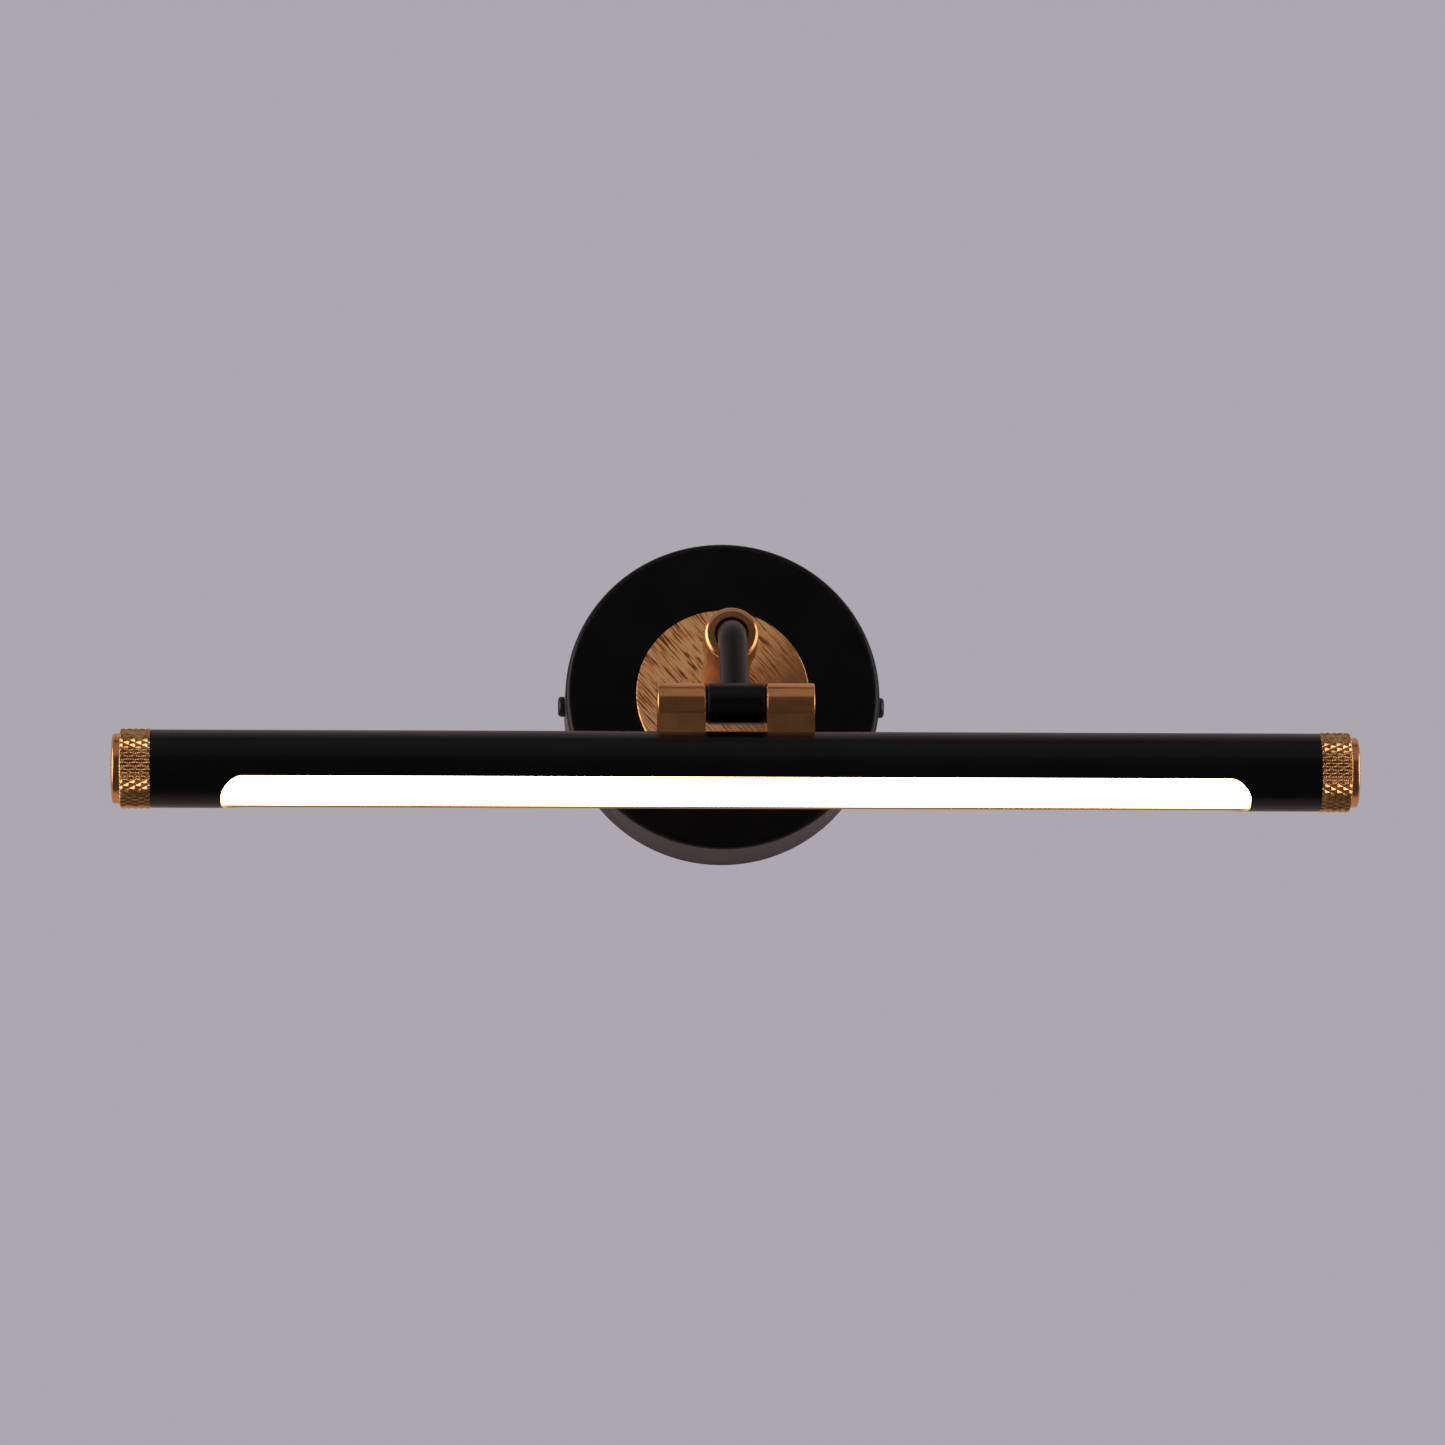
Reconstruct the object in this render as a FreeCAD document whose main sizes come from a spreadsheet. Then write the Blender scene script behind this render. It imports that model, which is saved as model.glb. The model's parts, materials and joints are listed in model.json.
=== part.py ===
import FreeCAD, Part
import math
import os
import re
import Sketcher

# A wall-mounted picture light, in millimetres. +X runs along the lamp tube, +Z is up and the
# wall is the plane y = 0, with the light standing out from it towards -Y. The origin is the
# centre of the canopy on the wall.
#
# Pieces on the boss axis are drawn in the "wall frame": x to the right, y up, z out of the wall.
# Hinge pieces are drawn about the hinge axis, and tube pieces about the axis of the tube.

SIZES = {
    # canopy and face disc
    "canopy_radius": 53.3, "canopy_depth": 25.0, "canopy_wall": 1.2, "canopy_round": 2.0,
    "disc_radius": 29.3, "disc_thick": 1.5, "neck_hole": 5.0,
    # bracket on the wall
    "strap_half": 51.8, "strap_wide": 20.0, "steel_thick": 1.5, "ear_wide": 10.0, "ear_tall": 13.0,
    "ear_hole_out": 8.0, "ear_hole": 2.0, "tongue_left": 20.0, "tongue_right": 18.0,
    "tongue_top": 28.0, "tongue_low_half": 42.0, "slot_centre": 30.0,
    "slot_length": 10.0, "slot_wide": 4.5, "cable_right": 10.0, "cable_up": 19.0,
    "cable_radius": 6.0, "earth_right": 20.0, "earth_hole": 2.0,
    # boss, collar and what holds them
    "boss_radius": 8.0, "boss_bore": 6.5, "boss_end": 101.0, "boss_floor": 30.0,
    "neck_radius": 4.95, "neck_back": 14.0, "neck_bore": 3.0,
    "washer_radius": 9.0, "washer_thick": 1.2, "nut_half_flats": 7.0, "nut_thick": 4.0,
    "collar_radius": 9.05, "collar_back": 91.5, "collar_front": 109.0, "collar_floor": 101.2,
    "collar_round": 1.6, "collar_hole": 5.3, "mouth_chamfer": 0.4, "slide_gap": 0.03,
    "bush_back": 84.0, "bush_front": 96.0, "bush_radius": 6.48, "bush_bore": 4.775,
    "grub_out": 93.5, "grub_radius": 1.48, "grub_socket": 0.75, "grub_top": 9.0,
    # arm
    "arm_radius": 4.75, "arm_bore": 3.75, "arm_back": 76.0, "bend_start": 105.5,
    "arm_slope": 50.0, "hinge_out": 141.0, "hinge_drop": 32.0, "socket_floor": 4.0,
    "ring_radius": 6.2, "rear_ring": 80.0, "front_ring": 96.2, "ring_thick": 3.0,
    # hinge
    "barrel_radius": 6.8, "barrel_half": 9.75, "barrel_chamfer": 0.9, "barrel_bore": 3.05,
    "lead_hole": 2.0, "washer_gap": 0.2, "journal_radius": 3.0, "stud_bore": 2.0,
    "stud_inner": 4.0, "stud_left_end": 13.8, "stud_right_end": 16.0,
    "knuckle_inner": 10.0, "knuckle_wide": 15.6, "knuckle_bore": 3.02, "foot_half": 5.2,
    "tube_drop": 22.4, "cap_radius": 4.0, "cap_thick": 1.5, "edge_break": 0.3,
    "lead_down": 17.8, "foot_hole": 2.5, "foot_screw_pitch": 5.6, "foot_thread_deep": 6.0,
    # lamp tube and its ends
    "tube_radius": 12.75, "tube_bore": 11.0, "tube_half": 190.0, "window_half": 167.25,
    "window_half_wide": 9.29, "window_round": 7.1, "window_turn": 20.0, "screw_hole": 1.4,
    "knurl_radius": 13.05, "knurl_wide": 10.1, "end_bore": 9.1, "plug_radius": 9.0,
    "flange_radius": 11.4, "flange_thick": 3.2, "flange_dome": 0.75, "flange_round": 0.8, "plug_inside": 4.5,
    "insert_radius": 10.97, "insert_long": 10.0, "insert_slot": 5.0,
    # inside the tube
    "carrier_half": 184.8, "carrier_half_wide": 10.8, "carrier_half_thick": 1.0,
    "leg_inner": 8.75, "leg_outer": 9.9, "leg_low": 3.8, "board_half": 165.0,
    "board_half_wide": 6.0, "board_thick": 1.0, "chip_pitch": 7.0, "chip_count": 47.0,
    "chip_long": 3.5, "chip_wide": 2.8, "chip_thick": 0.7,
    "lens_outer": 11.7, "lens_back": 10.9, "lens_step": 10.95, "lens_inner": 9.5,
    "lens_gap": 0.05, "lens_flange_half": 170.0, "lens_flange_angle": 66.0,
    "plug_block_long": 6.0, "plug_block_wide": 5.0, "plug_block_top": 4.28,
    "grommet_radius": 2.45, "grommet_bore": 1.2, "grommet_flange": 3.2,
    # driver and terminal block
    "case_half": 31.0, "case_top": -12.0, "case_low": -38.0, "case_wall": 1.4, "case_tall": 14.0,
    "lug_reach": 38.0, "lug_low": -30.0, "lug_high": -20.0, "lug_thick": 2.0, "lug_hole": 1.6,
    "post_tall": 2.0, "post_half": 1.5, "cover_thick": 2.0, "circuit_thick": 1.6,
    "terminal_left": 19.0, "terminal_right": 1.0, "terminal_low": 12.0, "terminal_high": 26.0,
    "terminal_tall": 12.0, "pole_left": 14.0, "pole_right": 6.0, "pole_hole": 1.4,
    "pole_screw": 2.2, "wire_out": 8.0, "wire_start": -16.0,
    # leads
    "lead_radius": 1.0, "mains_radius": 0.9, "lead_bend": 6.0, "lead_joint_out": 60.0,
    "lead_right": 16.0, "base_bend": 7.0,
    # screws: a head's sizes are multiples of the thread's radius
    "head_ratio": 1.742, "head_tall_ratio": 1.11, "canopy_screw": 1.98, "canopy_screw_long": 7.0,
    "driver_screw": 1.48, "driver_screw_long": 4.0, "earth_screw": 1.96,
    "foot_screw": 1.25, "foot_screw_long": 7.2, "pole_screw_radius": 1.6, "pole_screw_long": 4.0,
}

WALL_TURN = 90.0
TAU = 360.0
UP = FreeCAD.Vector(0, 0, 1)
X_AXIS = FreeCAD.Vector(1, 0, 0)

doc = FreeCAD.newDocument("PictureLight")
sheet = doc.addObject("Spreadsheet::Sheet", "Sizes")
for row, (alias, size) in enumerate(SIZES.items(), start=1):
    sheet.set("A%d" % row, alias)
    sheet.set("B%d" % row, str(size))
    sheet.setAlias("B%d" % row, alias)
doc.recompute()

HINGE = ("0", "-hinge_out", "-hinge_drop")
TUBE = ("0", "-hinge_out", "-hinge_drop - tube_drop")
nodes = []


def linked(formula):
    """Points each size name in a formula at its cell in the spreadsheet."""
    return re.sub(r"[a-z][a-z_0-9]*",
                  lambda word: "Sizes." + word.group() if word.group() in SIZES else word.group(),
                  formula)


def bind(thing, prop, formula):
    thing.setExpression(prop, linked(formula))


def place(thing, centre=("0", "0", "0"), turn=0.0):
    """Moves a sub-part to a centre given as formulas, turned about X."""
    thing.Placement = FreeCAD.Placement(FreeCAD.Vector(), FreeCAD.Rotation(X_AXIS, turn))
    for axis, formula in zip("xyz", centre):
        bind(thing, "Placement.Base." + axis, formula)


def new_body(label, centre=("0", "0", "0"), turn=0.0, keep=True):
    body = doc.addObject("PartDesign::Body", label)
    body.Label = label
    place(body, centre, turn)
    if keep:
        nodes.append(body)
    return body


def sketch_on(body, role, offset="0"):
    """A sketch on one of the body's own origin planes, moved along that plane's normal."""
    plane = next(item for item in body.Origin.OriginFeatures if item.Role == role)
    sketch = body.newObject("Sketcher::SketchObject", body.Name + "_sketch")
    sketch.AttachmentSupport = [(plane, "")]
    sketch.MapMode = "FlatFace"
    bind(sketch, "AttachmentOffset.Base.z", offset)
    return sketch


def fix_point(sketch, index, position, x, y, start):
    """Pins a point of the sketch at the formulas x, y measured from the sketch's origin."""
    for kind, formula, value in (("DistanceX", x, start.x), ("DistanceY", y, start.y)):
        number = sketch.addConstraint(Sketcher.Constraint(kind, -1, 1, index, position, value))
        bind(sketch, "Constraints[%d]" % number, formula)


def outline(sketch, corners):
    """A closed outline of straight sides; the constraints carry its corners to their places."""
    count = len(corners)
    first = sketch.GeometryCount
    starts = [FreeCAD.Vector(10 * (i + 1), 7 * ((i * i) % 5) + i, 0) for i in range(count)]
    for i in range(count):
        sketch.addGeometry(Part.LineSegment(starts[i], starts[(i + 1) % count]), False)
    for i in range(count):
        after = first + (i + 1) % count
        sketch.addConstraint(Sketcher.Constraint("Coincident", first + i, 2, after, 1))
    for i, (x, y) in enumerate(corners):
        fix_point(sketch, first + i, 1, x, y, starts[i])


def rectangle(sketch, left, right, low, high):
    outline(sketch, [(left, low), (right, low), (right, high), (left, high)])


def circle(sketch, x, y, radius):
    middle = FreeCAD.Vector(5 * (sketch.GeometryCount + 1), 3, 0)
    index = sketch.addGeometry(Part.Circle(middle, UP, 1.0), False)
    fix_point(sketch, index, 3, x, y, middle)
    number = sketch.addConstraint(Sketcher.Constraint("Radius", index, 1.0))
    bind(sketch, "Constraints[%d]" % number, radius)


def revolve(body, corners, role="XZ_Plane", axis="V_Axis"):
    """Turns an outline about an axis of its sketch."""
    sketch = sketch_on(body, role)
    outline(sketch, corners)
    turned = body.newObject("PartDesign::Revolution", body.Name + "_turned")
    turned.Profile = sketch
    turned.ReferenceAxis = (sketch, [axis])
    turned.Angle = TAU
    doc.recompute()


def pad(body, sketch, length, symmetric=False):
    raised = body.newObject("PartDesign::Pad", body.Name + "_pad")
    raised.Profile = sketch
    raised.SideType = "Symmetric" if symmetric else "One side"
    bind(raised, "Length", length)
    doc.recompute()


def cut(body, sketch, length=None, forward=False):
    """Pockets the sketch, through everything both ways or for a length one way."""
    before = body.Shape.Volume
    pocket = body.newObject("PartDesign::Pocket", body.Name + "_cut")
    pocket.Profile = sketch
    if length is None:
        pocket.SideType = "Symmetric"
        pocket.Type = "ThroughAll"
    else:
        bind(pocket, "Length", length)
        pocket.Reversed = forward
    doc.recompute()
    if body.Shape.Volume > before - 1e-4:
        raise RuntimeError("a cut in %s removed nothing" % body.Label)


def soften(body, kind, size, wanted):
    """Rounds or chamfers the edges of the body for which wanted(edge) is true."""
    base = body.Tip
    names = ["Edge%d" % (i + 1) for i, edge in enumerate(base.Shape.Edges) if wanted(edge)]
    if not names:
        raise RuntimeError("no edge to soften in " + body.Label)
    worked = body.newObject("PartDesign::" + kind, body.Name + "_" + kind.lower())
    worked.Base = (base, names)
    bind(worked, "Radius" if kind == "Fillet" else "Size", size)
    doc.recompute()


def ring_edge(radius, height, axis="z"):
    """Picks full circles of a radius whose centre is at a height along the body's axis."""
    def wanted(edge):
        if edge.Degenerated or not isinstance(edge.Curve, Part.Circle):
            return False
        centre = getattr(edge.Curve.Center, axis)
        return abs(edge.Curve.Radius - radius) < 1e-3 and abs(centre - height) < 1e-3
    return wanted


def turned_piece(label, corners, centre=("0", "0", "0"), turn=WALL_TURN):
    body = new_body(label, centre, turn)
    revolve(body, corners)
    return body


def hoop(inner, outer, back, front):
    """The four corners of a plain ring, for revolving."""
    return [(inner, back), (outer, back), (outer, front), (inner, front)]


def group(label, master, places):
    """One node of separate copies of a master piece."""
    links = []
    for spot in places:
        link = doc.addObject("App::Link", label + "_copy")
        link.LinkedObject = master
        link.LinkPlacement = spot
        links.append(link)
    compound = doc.addObject("Part::Compound", label)
    compound.Label = label
    compound.Links = links
    nodes.append(compound)


def aimed(point, direction):
    """A placement that carries +Z to a direction and the origin to a point."""
    return FreeCAD.Placement(FreeCAD.Vector(*point), FreeCAD.Rotation(UP, FreeCAD.Vector(*direction)))


def screw(name, radius, length):
    """A cross-recessed pan-head screw: bearing face at z = 0, head towards +Z."""
    head = "%s * head_ratio" % radius
    tall = "%s * head_tall_ratio" % radius
    body = new_body(name, keep=False)
    revolve(body, [("0", "-(%s)" % length), (radius, "-(%s)" % length), (radius, "0"),
                   (head, "0"), (head, tall), ("0", tall)])
    top = SIZES[radius] * SIZES["head_tall_ratio"]
    rim = SIZES[radius] * SIZES["head_ratio"]
    soften(body, "Fillet", tall + " * 0.55", ring_edge(rim, top))
    reach, half = "(%s) * 0.62" % head, "(%s) * 0.13" % head
    recess = sketch_on(body, "XY_Plane", tall)
    outline(recess, [(half, half), (reach, half), (reach, "-" + half), (half, "-" + half),
                     (half, "-" + reach), ("-" + half, "-" + reach), ("-" + half, "-" + half),
                     ("-" + reach, "-" + half), ("-" + reach, half), ("-" + half, half),
                     ("-" + half, reach), (half, reach)])
    cut(body, recess, "(%s) * 0.6" % tall)
    return body


def lead(label, points, radii, radius):
    """A round lead along straight runs joined by tangent arcs."""
    spots = [FreeCAD.Vector(*point) for point in points]
    edges = []
    start = spots[0]
    length = 0.0
    for before, corner, after, bend in zip(spots, spots[1:], spots[2:], radii):
        arriving = (corner - before).normalize()
        leaving = (after - corner).normalize()
        turn = arriving.getAngle(leaving)
        reach = bend * math.tan(turn / 2)
        inside = (leaving - arriving).normalize()
        middle = corner + inside * (bend / math.cos(turn / 2) - bend)
        first, last = corner - arriving * reach, corner + leaving * reach
        if (first - start).Length > 1e-6:
            edges.append(Part.LineSegment(start, first).toShape())
            length += (first - start).Length
        edges.append(Part.Arc(first, middle, last).toShape())
        length += bend * turn
        start = last
    if (spots[-1] - start).Length > 1e-6:
        edges.append(Part.LineSegment(start, spots[-1]).toShape())
        length += (spots[-1] - start).Length
    section = Part.Wire(Part.makeCircle(radius, spots[0], spots[1] - spots[0]))
    solid = Part.Wire(edges).makePipeShell([section], True, False)
    expected = math.pi * radius ** 2 * length
    if abs(solid.Volume - expected) > 0.01 * expected:
        raise RuntimeError("%s has volume %.1f, not %.1f" % (label, solid.Volume, expected))
    print("%s: %.1f mm long, radii %s" % (label, length, radii))
    return solid


def lead_node(label, solids):
    feature = doc.addObject("Part::Feature", label)
    feature.Label = label
    feature.Shape = solids[0] if len(solids) == 1 else Part.makeCompound(solids)
    nodes.append(feature)


def wall_bracket():
    """Steel strap with bent ears, an upper tongue for the terminals and a lower one for the
    driver."""
    body = new_body("wall_bracket", turn=WALL_TURN)
    side = sketch_on(body, "XZ_Plane")
    outline(side, [("-strap_half", "0"), ("strap_half", "0"), ("strap_half", "ear_tall"),
                   ("strap_half - steel_thick", "ear_tall"),
                   ("strap_half - steel_thick", "steel_thick"),
                   ("-strap_half + steel_thick", "steel_thick"),
                   ("-strap_half + steel_thick", "ear_tall"), ("-strap_half", "ear_tall")])
    pad(body, side, "ear_wide", symmetric=True)
    plate = sketch_on(body, "XY_Plane")
    rectangle(plate, "-tongue_low_half", "tongue_low_half", "-strap_wide / 2", "strap_wide / 2")
    pad(body, plate, "steel_thick")
    upper = sketch_on(body, "XY_Plane")
    rectangle(upper, "-tongue_left", "tongue_right", "strap_wide / 2 - 1", "tongue_top")
    pad(body, upper, "steel_thick")
    lower = sketch_on(body, "XY_Plane")
    rectangle(lower, "-tongue_low_half + 2", "tongue_low_half - 2", "lug_low", "-strap_wide / 2 + 1")
    pad(body, lower, "steel_thick")
    ears = sketch_on(body, "YZ_Plane")
    circle(ears, "0", "ear_hole_out", "ear_hole")
    cut(body, ears)
    slots = sketch_on(body, "XY_Plane")
    for side_sign in ("-", ""):
        centre = side_sign + "slot_centre"
        rectangle(slots, centre + " - slot_length / 2 + slot_wide / 2",
                  centre + " + slot_length / 2 - slot_wide / 2", "-slot_wide / 2", "slot_wide / 2")
    cut(body, slots)
    for end in ("-", "+"):
        ends = sketch_on(body, "XY_Plane")
        for side_sign in ("-", ""):
            circle(ends, "%sslot_centre %s (slot_length - slot_wide) / 2" % (side_sign, end),
                   "0", "slot_wide / 2")
        cut(body, ends)
    holes = sketch_on(body, "XY_Plane")
    circle(holes, "cable_right", "cable_up", "cable_radius")
    circle(holes, "earth_right", "0", "earth_hole")
    for side_sign in ("-", ""):
        circle(holes, side_sign + "(case_half + lug_reach) / 2", "(lug_low + lug_high) / 2",
               "lug_hole")
    cut(body, holes)


def canopy():
    """Spun cup that covers the bracket, with a hole for the boss neck and two side holes."""
    inside = "canopy_radius - canopy_wall"
    floor = "canopy_depth - canopy_wall"
    body = turned_piece("canopy", [
        ("canopy_radius", "0"), ("canopy_radius", "canopy_depth"), ("neck_hole", "canopy_depth"),
        ("neck_hole", floor), (inside, floor), (inside, "0")])
    soften(body, "Fillet", "canopy_round", ring_edge(SIZES["canopy_radius"], SIZES["canopy_depth"]))
    soften(body, "Fillet", "canopy_round - canopy_wall / 2",
           ring_edge(SIZES["canopy_radius"] - SIZES["canopy_wall"],
                     SIZES["canopy_depth"] - SIZES["canopy_wall"]))
    holes = sketch_on(body, "YZ_Plane")
    circle(holes, "0", "ear_hole_out", "ear_hole + 0.15")
    cut(body, holes)


def canopy_screws():
    master = screw("canopy_screw_master", "canopy_screw", "canopy_screw_long")
    out = -SIZES["ear_hole_out"]
    group("canopy_screws", master, [aimed((sign * SIZES["canopy_radius"], out, 0), (sign, 0, 0))
                                    for sign in (-1, 1)])


def face_disc():
    front = "canopy_depth + disc_thick"
    body = turned_piece("face_disc", hoop("neck_hole", "disc_radius", "canopy_depth", front))
    soften(body, "Chamfer", "edge_break",
           ring_edge(SIZES["disc_radius"], SIZES["canopy_depth"] + SIZES["disc_thick"]))


def boss_tube():
    """Tube with a shoulder against the face disc and a threaded neck through the canopy."""
    shoulder = "canopy_depth + disc_thick"
    body = turned_piece("boss_tube", [
        ("neck_bore", "neck_back"), ("neck_radius", "neck_back"), ("neck_radius", shoulder),
        ("boss_radius", shoulder), ("boss_radius", "boss_end"), ("boss_bore", "boss_end"),
        ("boss_bore", "boss_floor"), ("neck_bore", "boss_floor")])
    grub = sketch_on(body, "XZ_Plane")
    circle(grub, "0", "grub_out", "grub_radius + 0.02")
    cut(body, grub, "boss_radius + 1", forward=False)


def boss_washer():
    back = "canopy_depth - canopy_wall - washer_thick"
    turned_piece("boss_washer", hoop("neck_hole", "washer_radius", back,
                                     "canopy_depth - canopy_wall"))


def boss_nut():
    """Hexagon nut behind the washer."""
    body = new_body("boss_nut", turn=WALL_TURN)
    back = "canopy_depth - canopy_wall - washer_thick - nut_thick"
    flats = sketch_on(body, "XY_Plane", back)
    corner = 1 / math.cos(math.radians(30))
    corners = [("nut_half_flats * %.6f" % (corner * math.cos(math.radians(60 * i))),
                "nut_half_flats * %.6f" % (corner * math.sin(math.radians(60 * i))))
               for i in range(6)]
    outline(flats, corners)
    pad(body, flats, "nut_thick")
    bore = sketch_on(body, "XY_Plane", back)
    circle(bore, "0", "0", "neck_radius + 0.02")
    cut(body, bore)


def collar():
    """Turned cap over the end of the boss, with the mouth that the arm leaves by."""
    bore = "boss_radius + slide_gap"
    body = turned_piece("collar", [
        (bore, "collar_back"), ("collar_radius - 0.3", "collar_back"),
        ("collar_radius", "collar_back + 0.3"),
        ("collar_radius", "collar_front"),
        ("collar_hole + mouth_chamfer", "collar_front"),
        ("collar_hole", "collar_front - mouth_chamfer"), ("collar_hole", "collar_floor"),
        (bore, "collar_floor")])
    soften(body, "Fillet", "collar_round", ring_edge(SIZES["collar_radius"], SIZES["collar_front"]))
    grub = sketch_on(body, "XZ_Plane")
    circle(grub, "0", "grub_out", "grub_radius + 0.02")
    cut(body, grub, "collar_radius + 1", forward=False)


def collar_grub_screw():
    """Set screw through the top of the collar and boss, on to the bush."""
    body = new_body("collar_grub_screw", ("0", "-grub_out", "0"))
    revolve(body, [("0", "bush_radius + 0.02"), ("grub_radius", "bush_radius + 0.02"),
                   ("grub_radius", "grub_top - 0.1"), ("0", "grub_top - 0.1")])
    socket = sketch_on(body, "XY_Plane", "grub_top - 0.1")
    corner = 1 / math.cos(math.radians(30))
    outline(socket, [("grub_socket * %.6f" % (corner * math.cos(math.radians(60 * i))),
                      "grub_socket * %.6f" % (corner * math.sin(math.radians(60 * i))))
                     for i in range(6)])
    cut(body, socket, "1.2")


def swivel_bush():
    turned_piece("swivel_bush", hoop("bush_bore", "bush_radius", "bush_back", "bush_front"))


def driver_case():
    """Open plastic box with board posts, two lugs and holes for the leads in its top wall."""
    body = new_body("driver_case", turn=WALL_TURN)
    base = sketch_on(body, "XY_Plane", "steel_thick")
    rectangle(base, "-case_half", "case_half", "case_low", "case_top")
    pad(body, base, "case_tall")
    for side_sign in ("-", ""):
        lug = sketch_on(body, "XY_Plane", "steel_thick")
        rectangle(lug, side_sign + "(case_half - 1)", side_sign + "lug_reach", "lug_low", "lug_high")
        pad(body, lug, "lug_thick")
    room = sketch_on(body, "XY_Plane", "steel_thick + case_wall")
    rectangle(room, "-case_half + case_wall", "case_half - case_wall",
              "case_low + case_wall", "case_top - case_wall")
    cut(body, room, "case_tall", forward=True)
    inner = "case_half - case_wall - 2.5"
    for side_sign in ("-", ""):
        for post_row in ("case_low + case_wall + 2.5", "case_top - case_wall - 2.5"):
            post = sketch_on(body, "XY_Plane", "steel_thick + case_wall - 0.1")
            circle(post, side_sign + "(%s)" % inner, post_row, "post_half")
            pad(body, post, "post_tall + 0.1")
    holes = sketch_on(body, "XY_Plane")
    for side_sign in ("-", ""):
        circle(holes, side_sign + "(case_half + lug_reach) / 2", "(lug_low + lug_high) / 2",
               "lug_hole")
    cut(body, holes)
    ways = sketch_on(body, "XZ_Plane", "-case_top - case_wall - 1")
    for place_x in ("lead_right", "-pole_left - 6", "-pole_right - 6"):
        circle(ways, place_x, "wire_out", "lead_radius + 0.1")
    cut(body, ways, "case_wall + 3", forward=True)


def driver_cover():
    body = new_body("driver_cover", turn=WALL_TURN)
    lid = sketch_on(body, "XY_Plane", "steel_thick + case_tall")
    rectangle(lid, "-case_half", "case_half", "case_low", "case_top")
    pad(body, lid, "cover_thick")
    lip = sketch_on(body, "XY_Plane", "steel_thick + case_tall - 1")
    inset = "(case_wall + 0.1)"
    rectangle(lip, "-case_half + " + inset, "case_half - " + inset,
              "case_low + " + inset, "case_top - " + inset)
    pad(body, lip, "1")


def driver_board():
    body = new_body("driver_board", turn=WALL_TURN)
    board = sketch_on(body, "XY_Plane", "steel_thick + case_wall + post_tall")
    rectangle(board, "-case_half + case_wall + 0.4", "case_half - case_wall - 0.4",
              "case_low + case_wall + 0.4", "case_top - case_wall - 0.4")
    pad(body, board, "circuit_thick")


def driver_parts():
    """Transformer, chokes, capacitors, chips and the three wire connectors of the board."""
    top = SIZES["steel_thick"] + SIZES["case_wall"] + SIZES["post_tall"] + SIZES["circuit_thick"]
    boxes = {"transformer": (2.0, -26.5, 13.0, 12.0, 7.0), "choke": (-13.0, -27.0, 6.0, 8.0, 6.0),
             "fuse": (-24.5, -27.0, 3.0, 9.0, 3.0), "bridge": (-20.0, -33.5, 5.0, 2.6, 4.0),
             "controller": (14.0, -22.5, 5.0, 4.0, 1.5), "diode": (14.5, -33.0, 4.5, 2.6, 2.2)}
    parts = []
    for name, (x, up, wide, deep, tall) in boxes.items():
        box = doc.addObject("Part::Box", "driver_" + name)
        box.Length, box.Width, box.Height = wide, deep, tall
        box.Placement.Base = FreeCAD.Vector(x - wide / 2, up - deep / 2, top)
        parts.append(box)
    for name, x in (("output", SIZES["lead_right"]), ("line", -SIZES["pole_left"] - 6),
                    ("neutral", -SIZES["pole_right"] - 6)):
        box = doc.addObject("Part::Box", "driver_connector_" + name)
        box.Length, box.Width, box.Height = 4.0, 3.0, 3.6
        box.Placement.Base = FreeCAD.Vector(x - 2.0, SIZES["wire_start"] - 3.0, top)
        parts.append(box)
    for name, x, up, radius, tall in (("bulk", 22.5, -27.0, 4.0, 7.5), ("output", -6.0, -31.5, 2.5, 6.5),
                                      ("filter", -6.0, -23.5, 2.5, 6.5)):
        can = doc.addObject("Part::Cylinder", "driver_capacitor_" + name)
        can.Radius, can.Height = radius, tall
        can.Placement.Base = FreeCAD.Vector(x, up, top)
        parts.append(can)
    compound = doc.addObject("Part::Compound", "driver_parts")
    compound.Label = "driver_parts"
    compound.Links = parts
    place(compound, turn=WALL_TURN)
    nodes.append(compound)


def driver_screws():
    master = screw("driver_screw_master", "driver_screw", "driver_screw_long")
    across = (SIZES["case_half"] + SIZES["lug_reach"]) / 2
    up = (SIZES["lug_low"] + SIZES["lug_high"]) / 2
    out = -SIZES["steel_thick"] - SIZES["lug_thick"]
    group("driver_screws", master, [aimed((sign * across, out, up), (0, -1, 0)) for sign in (-1, 1)])


def terminal_block():
    """Two-pole block on the upper tongue, open at top and bottom for the wires."""
    body = new_body("terminal_block", turn=WALL_TURN)
    block = sketch_on(body, "XY_Plane", "steel_thick")
    rectangle(block, "-terminal_left", "-terminal_right", "terminal_low", "terminal_high")
    pad(body, block, "terminal_tall")
    ways = sketch_on(body, "XZ_Plane")
    screws = sketch_on(body, "XY_Plane", "wire_out")
    for pole in ("-pole_left", "-pole_right"):
        circle(ways, pole, "wire_out", "pole_hole")
        for across in ("terminal_low + 3.5", "terminal_high - 3.5"):
            circle(screws, pole, across, "pole_screw")
    cut(body, ways)
    cut(body, screws, "terminal_tall", forward=True)


def terminal_screws():
    """Clamp screws of the terminal block, sunk in their wells."""
    master = new_body("terminal_screw_master", keep=False)
    revolve(master, [("0", "-pole_screw_long / 2"), ("pole_screw_radius", "-pole_screw_long / 2"),
                     ("pole_screw_radius", "pole_screw_long / 2"), ("0", "pole_screw_long / 2")])
    slot = sketch_on(master, "XY_Plane", "pole_screw_long / 2")
    rectangle(slot, "-pole_screw_radius * 1.1", "pole_screw_radius * 1.1", "-0.3", "0.3")
    cut(master, slot, "0.9")
    out = -(SIZES["wire_out"] + SIZES["mains_radius"] + 0.1 + SIZES["pole_screw_long"] / 2)
    spots = [(-pole, out, up) for pole in (SIZES["pole_left"], SIZES["pole_right"])
             for up in (SIZES["terminal_low"] + 3.5, SIZES["terminal_high"] - 3.5)]
    group("terminal_screws", master, [aimed(spot, (0, -1, 0)) for spot in spots])


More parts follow.
